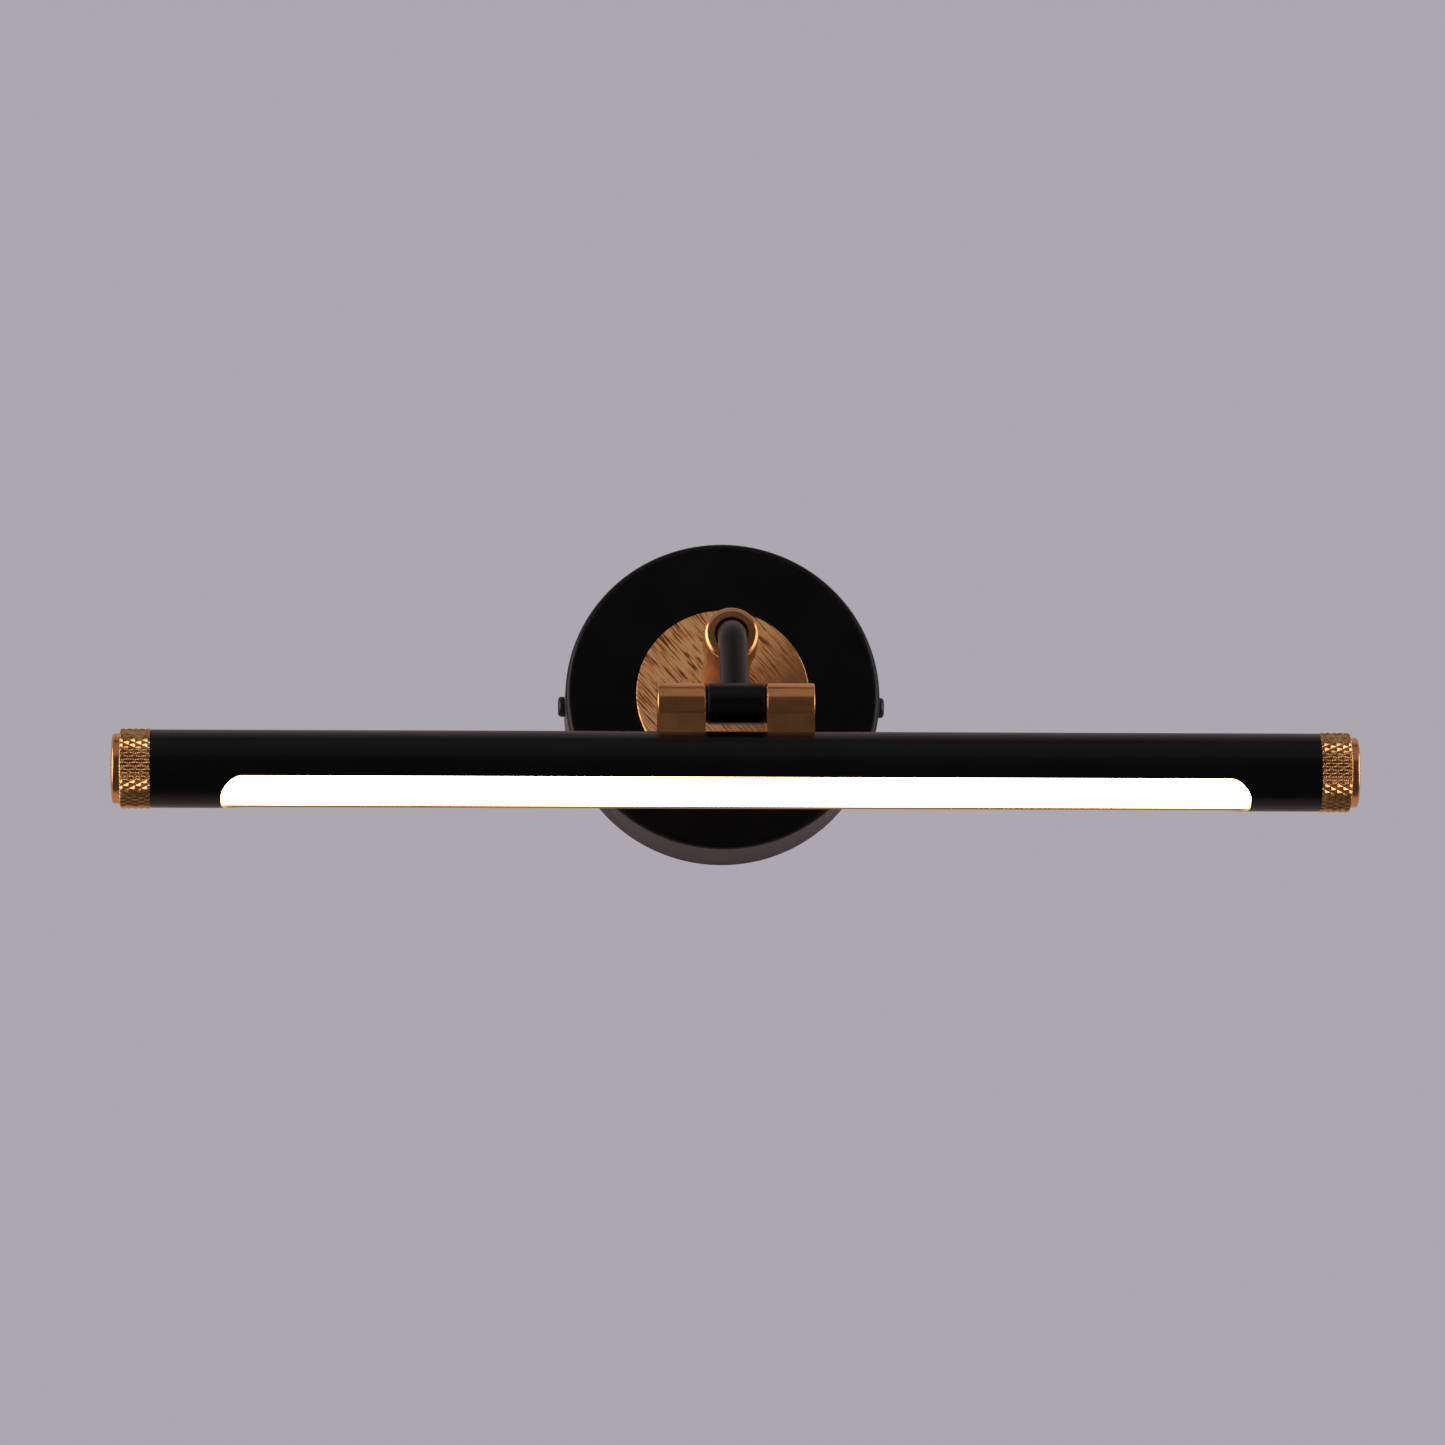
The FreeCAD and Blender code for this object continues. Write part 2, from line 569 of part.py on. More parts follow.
def earth_screw():
    master = screw("earth_screw_master", "earth_screw", "steel_thick - 0.1")
    group("earth_screw", master, [aimed((SIZES["earth_right"], -SIZES["steel_thick"], 0),
                                        (0, -1, 0))])


def base_leads():
    """Low-voltage lead from the driver to the swivel, and the two mains wires to the block."""
    out = -SIZES["wire_out"]
    start = SIZES["wire_start"]
    right = SIZES["lead_right"]
    bend = SIZES["base_bend"]
    lead_node("base_lead", [lead("base_lead", [
        (right, out, start), (right, out, 0), (0, out, 0), (0, -SIZES["lead_joint_out"], 0)],
        [bend, bend], SIZES["lead_radius"])])
    wires = []
    for pole in (SIZES["pole_left"], SIZES["pole_right"]):
        wires.append(lead("mains_lead", [
            (-pole - 6, out, start), (-pole - 6, out, -6), (-pole, out, 3),
            (-pole, out, SIZES["terminal_low"] + 5)], [13.0, 13.0], SIZES["mains_radius"]))
    lead_node("mains_leads", wires)


def bend_radius():
    """Radius that carries the arm from straight out to its slope and on to the hinge."""
    slope = math.radians(SIZES["arm_slope"])
    across = SIZES["hinge_out"] - SIZES["bend_start"]
    return (across * math.sin(slope) - SIZES["hinge_drop"] * math.cos(slope)) / (1 - math.cos(slope))


def down_arm():
    """Unit vector down the sloping part of the arm."""
    slope = math.radians(SIZES["arm_slope"])
    return FreeCAD.Vector(0, -math.cos(slope), -math.sin(slope))


def arm_tube():
    """Tube from inside the boss, out of the mouth and down the slope to the hinge barrel."""
    hinge = FreeCAD.Vector(0, -SIZES["hinge_out"], -SIZES["hinge_drop"])
    end = hinge - down_arm() * SIZES["socket_floor"]
    corner_out = SIZES["bend_start"] + bend_radius() * math.tan(math.radians(SIZES["arm_slope"] / 2))
    route = [(0, -SIZES["arm_back"], 0), (0, -corner_out, 0), end]
    solid = lead("arm_tube_outside", route, [bend_radius()], SIZES["arm_radius"])
    hollow = lead("arm_tube_inside", route, [bend_radius()], SIZES["arm_bore"])
    feature = doc.addObject("Part::Feature", "arm_tube")
    feature.Label = "arm_tube"
    feature.Shape = solid.cut(hollow)
    nodes.append(feature)


def arm_stop_rings():
    """Two rings fixed on the arm, one each side of the bush."""
    rings = []
    for name, back in (("rear", "rear_ring"), ("front", "front_ring")):
        body = new_body("stop_ring_" + name, turn=WALL_TURN, keep=False)
        revolve(body, hoop("arm_radius + 0.02", "ring_radius", back, back + " + ring_thick"))
        rings.append(body)
    compound = doc.addObject("Part::Compound", "arm_stop_rings")
    compound.Label = "arm_stop_rings"
    compound.Links = rings
    nodes.append(compound)


def hinge_barrel():
    """Barrel across the end of the arm; its own +Z points back up the arm."""
    body = new_body("hinge_barrel", HINGE, SIZES["arm_slope"] - 90)
    revolve(body, [("-barrel_half", "0"), ("-barrel_half", "barrel_radius - barrel_chamfer"),
                   ("-barrel_half + barrel_chamfer", "barrel_radius"),
                   ("barrel_half - barrel_chamfer", "barrel_radius"),
                   ("barrel_half", "barrel_radius - barrel_chamfer"), ("barrel_half", "0")],
            "XY_Plane", "H_Axis")
    bore = sketch_on(body, "YZ_Plane")
    circle(bore, "0", "0", "barrel_bore")
    cut(body, bore)
    way = sketch_on(body, "XY_Plane")
    circle(way, "0", "0", "lead_hole")
    cut(body, way, "barrel_radius + 1", forward=True)
    socket = sketch_on(body, "XY_Plane", "socket_floor")
    circle(socket, "0", "0", "arm_radius + 0.02")
    cut(body, socket, "barrel_radius", forward=True)


def friction_washers():
    washers = []
    for name, left in (("left", "-barrel_half - washer_gap"), ("right", "barrel_half")):
        body = new_body("friction_washer_" + name, HINGE, keep=False)
        disc = sketch_on(body, "YZ_Plane", left)
        circle(disc, "0", "0", "barrel_radius - 0.4")
        circle(disc, "0", "0", "barrel_bore + 0.05")
        pad(body, disc, "washer_gap")
        washers.append(body)
    compound = doc.addObject("Part::Compound", "friction_washers")
    compound.Label = "friction_washers"
    compound.Links = washers
    nodes.append(compound)


def arm_lead():
    """Lead on the axes of the swivel, the arm and the hinge, where turning doesn't move it."""
    hinge = FreeCAD.Vector(0, -SIZES["hinge_out"], -SIZES["hinge_drop"])
    corner_out = SIZES["bend_start"] + bend_radius() * math.tan(math.radians(SIZES["arm_slope"] / 2))
    bend = SIZES["lead_bend"]
    lead_node("arm_lead", [lead("arm_lead", [
        (0, -SIZES["lead_joint_out"], 0), (0, -corner_out, 0), hinge,
        (-bend, hinge.y, hinge.z)], [bend_radius(), bend], SIZES["lead_radius"])])


def knuckle(side):
    """Knuckle beside the hinge barrel: a round barrel on a narrower foot saddled on the tube."""
    left = side == "left"
    body = new_body("knuckle_" + side, HINGE)
    start = "-knuckle_inner - knuckle_wide" if left else "knuckle_inner"
    outer = "-knuckle_inner - knuckle_wide" if left else "knuckle_inner + knuckle_wide - cap_thick"
    eye = sketch_on(body, "YZ_Plane", start)
    circle(eye, "0", "0", "barrel_radius")
    pad(body, eye, "knuckle_wide")
    soften(body, "Chamfer", "edge_break", lambda edge: isinstance(edge.Curve, Part.Circle))
    foot = sketch_on(body, "YZ_Plane", start)
    rectangle(foot, "-foot_half", "foot_half", "-tube_drop + tube_radius - 2", "0")
    pad(body, foot, "knuckle_wide")
    saddle = sketch_on(body, "YZ_Plane")
    circle(saddle, "0", "-tube_drop", "tube_radius")
    cut(body, saddle)
    bore = sketch_on(body, "YZ_Plane")
    circle(bore, "0", "0", "knuckle_bore")
    cut(body, bore)
    seat = sketch_on(body, "YZ_Plane", outer)
    circle(seat, "0", "0", "cap_radius + 0.02")
    cut(body, seat, "cap_thick", forward=True)
    middle = ("-" if left else "") + "(knuckle_inner + knuckle_wide / 2)"
    threads = sketch_on(body, "XY_Plane", "-tube_drop + tube_radius - 2")
    for step in ("-", "+"):
        circle(threads, "%s %s foot_screw_pitch" % (middle, step), "0", "foot_screw + 0.02")
    cut(body, threads, "foot_thread_deep + 2", forward=True)
    if left:
        way = sketch_on(body, "XY_Plane", "-tube_drop + tube_radius - 2")
        circle(way, middle, "0", "foot_hole")
        cut(body, way, "tube_drop - tube_radius + 2", forward=True)


def pivot_studs():
    """The left stud is hollow for the lead and the right one is solid."""
    left = new_body("pivot_stud_left", HINGE)
    ring = sketch_on(left, "YZ_Plane", "-stud_left_end")
    circle(ring, "0", "0", "journal_radius")
    circle(ring, "0", "0", "stud_bore")
    pad(left, ring, "stud_left_end - stud_inner")
    right = new_body("pivot_stud_right", HINGE)
    disc = sketch_on(right, "YZ_Plane", "stud_inner")
    circle(disc, "0", "0", "journal_radius")
    pad(right, disc, "stud_right_end - stud_inner")


def pivot_caps():
    """Discs that close the outer ends of the knuckle bores."""
    caps = []
    for name, start in (("left", "-knuckle_inner - knuckle_wide"),
                        ("right", "knuckle_inner + knuckle_wide - cap_thick + 0.1")):
        body = new_body("pivot_cap_" + name, HINGE, keep=False)
        disc = sketch_on(body, "YZ_Plane", start)
        circle(disc, "0", "0", "cap_radius")
        pad(body, disc, "cap_thick - 0.1")
        outer_x = SIZES["knuckle_inner"] + SIZES["knuckle_wide"]
        edge_x = -outer_x if name == "left" else outer_x
        soften(body, "Chamfer", "edge_break / 2", ring_edge(SIZES["cap_radius"], edge_x, "x"))
        caps.append(body)
    compound = doc.addObject("Part::Compound", "pivot_caps")
    compound.Label = "pivot_caps"
    compound.Links = caps
    nodes.append(compound)


def knuckle_screws():
    """Screws from inside the tube up into the feet."""
    master = screw("knuckle_screw_master", "foot_screw", "foot_screw_long")
    middle = SIZES["knuckle_inner"] + SIZES["knuckle_wide"] / 2
    head = SIZES["foot_screw"] * SIZES["head_ratio"]
    seat = -SIZES["hinge_drop"] - SIZES["tube_drop"] + math.sqrt(SIZES["tube_bore"] ** 2 - head ** 2)
    group("knuckle_screws", master, [
        aimed((sign * middle + step * SIZES["foot_screw_pitch"], -SIZES["hinge_out"], seat - 0.02),
              (0, 0, -1)) for sign in (-1, 1) for step in (-1, 1)])


def window_outline(sketch, gap="0"):
    """The window seen square on: a rectangle with rounded corners, drawn smaller by a gap."""
    long, wide, bend = SIZES["window_half"], SIZES["window_half_wide"], SIZES["window_round"]
    for i, (x_side, y_side) in enumerate(((1, 1), (-1, 1), (-1, -1), (1, -1))):
        middle = FreeCAD.Vector(x_side * (long - bend), y_side * (wide - bend), 0)
        turn = i * math.pi / 2
        sketch.addGeometry(Part.ArcOfCircle(Part.Circle(middle, UP, bend), turn, turn + math.pi / 2))
        signs = ["-" if side < 0 else "" for side in (x_side, y_side)]
        fix_point(sketch, i, 3, signs[0] + "(window_half - window_round)",
                  signs[1] + "(window_half_wide - window_round)", middle)
        number = sketch.addConstraint(Sketcher.Constraint("Radius", i, bend))
        bind(sketch, "Constraints[%d]" % number, "window_round - (%s)" % gap)
    for i in range(4):
        after = (i + 1) % 4
        first, last = sketch.getPoint(i, 2), sketch.getPoint(after, 1)
        line = sketch.addGeometry(Part.LineSegment(first, last))
        sketch.addConstraint(Sketcher.Constraint("Tangent", i, 2, line, 1))
        sketch.addConstraint(Sketcher.Constraint("Tangent", line, 2, after, 1))


def lamp_tube():
    """Round tube with the window in its lower front and the holes under the knuckles."""
    body = new_body("lamp_tube", TUBE, -SIZES["window_turn"])
    ring = sketch_on(body, "YZ_Plane", "-tube_half")
    circle(ring, "0", "0", "tube_radius")
    circle(ring, "0", "0", "tube_bore")
    pad(body, ring, "2 * tube_half")
    window = sketch_on(body, "XY_Plane")
    window_outline(window)
    cut(body, window, "tube_radius + 1")
    holes = sketch_on(body, "XY_Plane")
    holes.AttachmentOffset = FreeCAD.Placement(
        FreeCAD.Vector(), FreeCAD.Rotation(X_AXIS, SIZES["window_turn"]))
    knuckle_middle = "(knuckle_inner + knuckle_wide / 2)"
    for side_sign in ("-", ""):
        for step in ("-", "+"):
            circle(holes, "%s%s %s foot_screw_pitch" % (side_sign, knuckle_middle, step), "0",
                   "screw_hole")
    circle(holes, "-" + knuckle_middle, "0", "foot_hole")
    cut(body, holes, "tube_radius + 1", forward=True)


def tube_grommet():
    """Flanged sleeve in the lead's hole through the tube."""
    middle = "-(knuckle_inner + knuckle_wide / 2)"
    body = new_body("tube_grommet", (middle, TUBE[1], TUBE[2]))
    flange = "tube_bore - 0.5"
    revolve(body, [("grommet_bore", flange + " - 1"), ("grommet_flange", flange + " - 1"),
                   ("grommet_flange", flange), ("grommet_radius", flange),
                   ("grommet_radius", "tube_radius + 1.5"), ("grommet_bore", "tube_radius + 1.5")])


def tube_spot(across, up):
    """A point given across and up in the window's own frame, in the frame of the light."""
    turn = math.radians(SIZES["window_turn"])
    return FreeCAD.Vector(0, -SIZES["hinge_out"] + across * math.cos(turn) + up * math.sin(turn),
                          -SIZES["hinge_drop"] - SIZES["tube_drop"]
                          - across * math.sin(turn) + up * math.cos(turn))


def head_lead():
    """Lead from the hinge axis down the left foot and round to the block on the carrier."""
    bend = SIZES["lead_bend"]
    turn = math.radians(SIZES["window_turn"])
    x = -SIZES["lead_down"]
    hinge_y, hinge_z = -SIZES["hinge_out"], -SIZES["hinge_drop"]
    top = tube_spot(block_across(), SIZES["plug_block_top"])
    corner = FreeCAD.Vector(x, hinge_y, top.z + bend * math.tan(turn / 2) * math.cos(turn))
    lead_node("head_lead", [lead("head_lead", [
        (-bend, hinge_y, hinge_z), (x, hinge_y, hinge_z), corner,
        FreeCAD.Vector(x, top.y, top.z)], [bend, bend], SIZES["lead_radius"])])


def block_across():
    """Where the lead meets the board's block, so that one bend brings it there square."""
    turn = math.radians(SIZES["window_turn"])
    drop = SIZES["lead_bend"] * (1 - math.cos(turn))
    return (-drop - SIZES["plug_block_top"] * math.sin(turn)) / math.cos(turn)


def led_carrier():
    """Aluminium section that carries the board and keeps the diffuser against the tube."""
    body = new_body("led_carrier", TUBE, -SIZES["window_turn"])
    section = sketch_on(body, "YZ_Plane", "-carrier_half")
    outline(section, [
        ("-carrier_half_wide", "-carrier_half_thick"), ("-leg_outer", "-carrier_half_thick"),
        ("-leg_outer", "-leg_low"), ("-leg_inner", "-leg_low"),
        ("-leg_inner", "-carrier_half_thick"), ("leg_inner", "-carrier_half_thick"),
        ("leg_inner", "-leg_low"), ("leg_outer", "-leg_low"),
        ("leg_outer", "-carrier_half_thick"), ("carrier_half_wide", "-carrier_half_thick"),
        ("carrier_half_wide", "carrier_half_thick"), ("-carrier_half_wide", "carrier_half_thick")])
    pad(body, section, "2 * carrier_half")
    trim = sketch_on(body, "XY_Plane", "-carrier_half_thick - 0.05")
    reach = "carrier_half + 1"
    rectangle(trim, "tube_half - insert_long - 1", reach, "-tube_bore", "tube_bore")
    rectangle(trim, "-(%s)" % reach, "-(tube_half - insert_long - 1)", "-tube_bore", "tube_bore")
    cut(body, trim, "tube_bore")


def led_board():
    body = new_body("led_board", TUBE, -SIZES["window_turn"])
    strip = sketch_on(body, "XY_Plane", "-carrier_half_thick - board_thick")
    rectangle(strip, "-board_half", "board_half", "-board_half_wide", "board_half_wide")
    pad(body, strip, "board_thick")


def led_chips():
    """A row of identical chips along the board."""
    master = doc.addObject("Part::Box", "led_chip_master")
    bind(master, "Length", "chip_long")
    bind(master, "Width", "chip_wide")
    bind(master, "Height", "chip_thick")
    turn = FreeCAD.Rotation(X_AXIS, -SIZES["window_turn"])
    low = -SIZES["carrier_half_thick"] - SIZES["board_thick"] - SIZES["chip_thick"]
    count = int(SIZES["chip_count"])
    spots = []
    for index in range(count):
        x = (index - (count - 1) / 2) * SIZES["chip_pitch"] - SIZES["chip_long"] / 2
        corner = turn.multVec(FreeCAD.Vector(x, -SIZES["chip_wide"] / 2, low))
        corner += FreeCAD.Vector(0, -SIZES["hinge_out"], -SIZES["hinge_drop"] - SIZES["tube_drop"])
        spots.append(FreeCAD.Placement(corner, turn))
    group("led_chips", master, spots)


def board_block():
    """Plug-in block on the back of the carrier that takes the lead."""
    body = new_body("board_block", TUBE, -SIZES["window_turn"])
    block = sketch_on(body, "XY_Plane", "carrier_half_thick")
    across = "%.6f" % block_across()
    rectangle(block, "-lead_down - plug_block_long / 2", "-lead_down + plug_block_long / 2",
              across + " - plug_block_wide / 2", across + " + plug_block_wide / 2")
    pad(body, block, "plug_block_top - carrier_half_thick")


def round_bar(name, radius, half_length, x="0"):
    """A cylinder along X, about the axis of the tube."""
    bar = doc.addObject("Part::Cylinder", name)
    bind(bar, "Radius", radius)
    bind(bar, "Height", "2 * (%s)" % half_length)
    bar.Placement = FreeCAD.Placement(FreeCAD.Vector(), FreeCAD.Rotation(FreeCAD.Vector(0, 1, 0), 90))
    bind(bar, "Placement.Base.x", "-(%s) + (%s)" % (half_length, x))
    return bar


def combine(kind, name, base, tool):
    result = doc.addObject("Part::" + kind, name)
    if kind == "Cut":
        result.Base, result.Tool = base, tool
    else:
        result.Shapes = [base, tool]
    return result


def diffuser():
    """Opal strip: a lens set back in the window, on a wider flange behind the tube's wall."""
    shell = combine("Cut", "lens_shell", round_bar("lens_skin", "lens_outer", "window_half"),
                    round_bar("lens_core", "lens_back", "window_half + 1"))
    block = new_body("lens_block", keep=False)
    plan = sketch_on(block, "XY_Plane", "-tube_radius - 1")
    window_outline(plan, "lens_gap")
    pad(block, plan, "tube_radius + 1")
    lens = combine("MultiCommon", "lens", shell, block)
    ring = combine("Cut", "lens_ring", round_bar("ring_skin", "lens_step", "lens_flange_half"),
                   round_bar("ring_core", "lens_inner", "lens_flange_half + 1"))
    wedge = doc.addObject("Part::Box", "lens_wedge")
    angle = math.radians(SIZES["lens_flange_angle"])
    half_chord = "lens_step * %.6f" % math.sin(angle)
    bind(wedge, "Length", "2 * lens_flange_half + 2")
    bind(wedge, "Width", "2 * (%s)" % half_chord)
    bind(wedge, "Height", "tube_radius")
    bind(wedge, "Placement.Base.x", "-lens_flange_half - 1")
    bind(wedge, "Placement.Base.y", "-(%s)" % half_chord)
    bind(wedge, "Placement.Base.z", "-tube_radius - lens_inner * %.6f" % math.cos(angle))
    flange = combine("MultiCommon", "lens_flange", ring, wedge)
    whole = combine("MultiFuse", "diffuser", lens, flange)
    whole.Label = "diffuser"
    place(whole, TUBE, -SIZES["window_turn"])
    nodes.append(whole)


def tube_ends():
    """At each end: an insert in the tube, a knurled ring and the plug that clamps the ring."""
    for side, toward in (("left", -1), ("right", 1)):
        sign = "-" if toward < 0 else ""
        insert = new_body("end_insert_" + side, TUBE, -SIZES["window_turn"])
        disc = sketch_on(insert, "YZ_Plane",
                         "-tube_half" if toward < 0 else "tube_half - insert_long")
        circle(disc, "0", "0", "insert_radius")
        circle(disc, "0", "0", "end_bore")
        pad(insert, disc, "insert_long")
        slot = sketch_on(insert, "XY_Plane")
        inner, floor = sign + "(tube_half - insert_long - 1)", sign + \
            "(tube_half - insert_long + insert_slot)"
        rectangle(slot, inner, floor, "-tube_bore", "tube_bore")
        thick = insert.newObject("PartDesign::Pocket", insert.Name + "_cut")
        thick.Profile = slot
        thick.SideType = "Symmetric"
        bind(thick, "Length", "2 * carrier_half_thick + 0.1")
        ring = new_body("knurl_ring_" + side, TUBE)
        band = sketch_on(ring, "YZ_Plane", "-tube_half - knurl_wide" if toward < 0 else "tube_half")
        circle(band, "0", "0", "knurl_radius")
        circle(band, "0", "0", "end_bore")
        pad(ring, band, "knurl_wide")
        rim_x = [toward * SIZES["tube_half"], toward * (SIZES["tube_half"] + SIZES["knurl_wide"])]
        soften(ring, "Chamfer", "edge_break", lambda edge, rims=rim_x: any(
            ring_edge(SIZES["knurl_radius"], rim, "x")(edge) for rim in rims))
        end_plug(side, toward)


def end_plug(side, toward):
    """A plug turned from solid, with a flange whose face is slightly domed."""
    plug = new_body("end_plug_" + side, TUBE)
    if toward < 0:
        plug.Placement = FreeCAD.Placement(plug.Placement.Base, FreeCAD.Rotation(UP, 180))
    start, outer = "tube_half - plug_inside", "tube_half + knurl_wide"
    face, rim = outer + " + flange_thick", outer + " + flange_thick - flange_dome"
    profile = sketch_on(plug, "XY_Plane")
    crown = SIZES["tube_half"] + SIZES["knurl_wide"] + SIZES["flange_thick"]
    wide, rise = SIZES["flange_radius"], SIZES["flange_dome"]
    curve = (wide ** 2 + rise ** 2) / (2 * rise)
    middle = FreeCAD.Vector(crown - curve, 0, 0)
    profile.addGeometry(Part.ArcOfCircle(Part.Circle(middle, UP, curve), 0, math.asin(wide / curve)))
    profile.addConstraint(Sketcher.Constraint("PointOnObject", 0, 3, -1))
    corners = [(face, "0"), (rim, "flange_radius"), (outer, "flange_radius"),
               (outer, "plug_radius"), (start, "plug_radius"), (start, "0")]
    first, last = profile.getPoint(0, 1), profile.getPoint(0, 2)
    inner, shoulder = SIZES["tube_half"] - SIZES["plug_inside"], crown - SIZES["flange_thick"]
    spots = [first, last, FreeCAD.Vector(shoulder, wide, 0),
             FreeCAD.Vector(shoulder, SIZES["plug_radius"], 0),
             FreeCAD.Vector(inner, SIZES["plug_radius"], 0), FreeCAD.Vector(inner, 0, 0)]
    for i in range(1, 6):
        side_line = profile.addGeometry(Part.LineSegment(spots[i], spots[(i + 1) % 6]))
        before = (0, 2) if i == 1 else (side_line - 1, 2)
        profile.addConstraint(Sketcher.Constraint("Coincident", *before, side_line, 1))
    profile.addConstraint(Sketcher.Constraint("Coincident", 5, 2, 0, 1))
    fix_point(profile, 0, 1, *corners[0], spots[0])
    for i in range(1, 6):
        fix_point(profile, i, 1, *corners[i], spots[i])
    turned = plug.newObject("PartDesign::Revolution", plug.Name + "_turned")
    turned.Profile = profile
    turned.ReferenceAxis = (profile, ["H_Axis"])
    turned.Angle = TAU
    doc.recompute()
    soften(plug, "Fillet", "flange_round", ring_edge(wide, crown - rise, "x"))


wall_bracket()
canopy()
canopy_screws()
face_disc()
boss_tube()
boss_washer()
boss_nut()
collar()
collar_grub_screw()
swivel_bush()
driver_case()
driver_cover()
driver_board()
driver_parts()
driver_screws()
terminal_block()
terminal_screws()
earth_screw()
base_leads()
arm_tube()
arm_stop_rings()
hinge_barrel()
friction_washers()
arm_lead()
knuckle("left")
knuckle("right")
pivot_studs()
pivot_caps()
knuckle_screws()
lamp_tube()
tube_grommet()
head_lead()
led_carrier()
led_board()
led_chips()
board_block()
diffuser()
tube_ends()
doc.recompute()

for item in doc.Objects:
    if "Invalid" in item.State or "Error" in item.State:
        raise RuntimeError("%s failed: %s" % (item.Label, item.State))
for node in nodes:
    if node.Shape.isNull() or not node.Shape.isValid():
        raise RuntimeError("%s has no valid shape" % node.Label)

os.makedirs("parts", exist_ok=True)
for node in nodes:
    node.Shape.exportStep("parts/%s.step" % node.Label)
    print("%-20s %2d solid(s) %10.1f mm3" % (node.Label, len(node.Shape.Solids), node.Shape.Volume))
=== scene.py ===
import json
import math

import bmesh
import bpy
from mathutils import Matrix, Vector


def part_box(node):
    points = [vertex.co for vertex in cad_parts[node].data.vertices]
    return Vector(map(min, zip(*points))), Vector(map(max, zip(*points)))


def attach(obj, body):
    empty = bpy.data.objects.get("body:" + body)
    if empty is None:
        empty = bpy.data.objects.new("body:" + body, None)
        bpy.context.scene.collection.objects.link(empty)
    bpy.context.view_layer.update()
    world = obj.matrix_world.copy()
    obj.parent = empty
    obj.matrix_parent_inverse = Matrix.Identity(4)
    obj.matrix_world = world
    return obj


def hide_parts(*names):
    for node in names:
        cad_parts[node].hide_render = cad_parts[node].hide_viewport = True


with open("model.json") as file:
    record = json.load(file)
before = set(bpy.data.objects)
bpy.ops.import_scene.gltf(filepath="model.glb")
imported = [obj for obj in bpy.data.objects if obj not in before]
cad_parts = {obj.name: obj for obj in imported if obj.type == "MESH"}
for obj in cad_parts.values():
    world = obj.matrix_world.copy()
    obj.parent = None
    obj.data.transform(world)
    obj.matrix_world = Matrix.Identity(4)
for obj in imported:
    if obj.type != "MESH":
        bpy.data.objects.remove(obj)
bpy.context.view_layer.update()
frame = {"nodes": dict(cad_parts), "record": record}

MM = 0.001
NODES = frame["nodes"]
SLOTS = {part["node"]: part["material_slot"] for part in frame["record"]["subparts"]}


# ---------------------------------------------------------------- material tools

class Shader:
    """A material built from nodes, with short calls for the nodes used here."""

    def __init__(self, name):
        self.material = bpy.data.materials.new(name)
        self.material.use_nodes = True
        self.tree = self.material.node_tree
        self.surface = self.tree.nodes["Principled BSDF"]

    def add(self, kind, **settings):
        node = self.tree.nodes.new("ShaderNode" + kind)
        for key, value in settings.items():
            if hasattr(node, key):
                setattr(node, key, value)
            else:
                node.inputs[key.replace("_", " ")].default_value = value
        return node

    def link(self, source, target):
        self.tree.links.new(source, target)

    def spots(self, scale=(1, 1, 1), turn=(0, 0, 0)):
        """Object coordinates in metres, turned and then stretched."""
        turned = self.add("Mapping")
        turned.inputs["Rotation"].default_value = turn
        self.link(self.add("TexCoord").outputs["Object"], turned.inputs["Vector"])
        stretched = self.add("Mapping")
        stretched.inputs["Scale"].default_value = scale
        self.link(turned.outputs["Vector"], stretched.inputs["Vector"])
        return stretched.outputs["Vector"]

    def noise(self, where, scale, detail=4.0, rough=0.5):
        node = self.add("TexNoise", Scale=scale, Detail=detail, Roughness=rough)
        self.link(where, node.inputs["Vector"])
        return node.outputs["Fac"]

    def ramp(self, value, stops):
        node = self.add("ValToRGB")
        band = node.color_ramp
        while len(band.elements) < len(stops):
            band.elements.new(0.5)
        for element, (place, colour) in zip(band.elements, stops):
            element.position = place
            element.color = (*colour, 1.0)
        self.link(value, node.inputs["Fac"])
        return node.outputs["Color"]

    def span(self, value, low, high, out_low, out_high):
        node = self.add("MapRange")
        for socket, number in (("From Min", low), ("From Max", high),
                               ("To Min", out_low), ("To Max", out_high)):
            node.inputs[socket].default_value = number
        self.link(value, node.inputs["Value"])
        return node.outputs["Result"]

    def math(self, operation, first, second):
        node = self.add("Math", operation=operation)
        for socket, value in zip(node.inputs, (first, second)):
            if isinstance(value, (int, float)):
                socket.default_value = value
            else:
                self.link(value, socket)
        return node.outputs["Value"]

    def mix(self, factor, first, second):
        node = self.add("Mix", data_type="RGBA")
        self.link(factor, node.inputs[0])
        for socket, value in ((node.inputs[6], first), (node.inputs[7], second)):
            if isinstance(value, tuple):
                socket.default_value = (*value, 1.0)
            else:
                self.link(value, socket)
        return node.outputs[2]

    def bump(self, height, distance, strength=1.0):
        node = self.add("Bump", Strength=strength, Distance=distance)
        self.link(height, node.inputs["Height"])
        self.link(node.outputs["Normal"], self.surface.inputs["Normal"])

    def set(self, **values):
        for key, value in values.items():
            socket = self.surface.inputs[key.replace("_", " ")]
            if isinstance(value, (int, float)):
                socket.default_value = value
            elif isinstance(value, tuple):
                socket.default_value = (*value, 1.0)
            else:
                self.link(value, socket)
        return self


def black_paint():
    """Satin black powder coat: near-black, with a faint orange peel."""
    make = Shader("black_paint")
    where = make.spots()
    cloud = make.noise(where, 45.0, 5.0)
    peel = make.noise(where, 1500.0, 2.0)
    make.set(Base_Color=make.ramp(cloud, [(0.3, (0.0010, 0.0009, 0.0009)),
                                          (0.7, (0.0018, 0.0016, 0.0016))]),
             Roughness=make.span(cloud, 0.3, 0.7, 0.27, 0.32), IOR=1.32)
    make.bump(peel, 0.00002, 0.15)
    return make.material


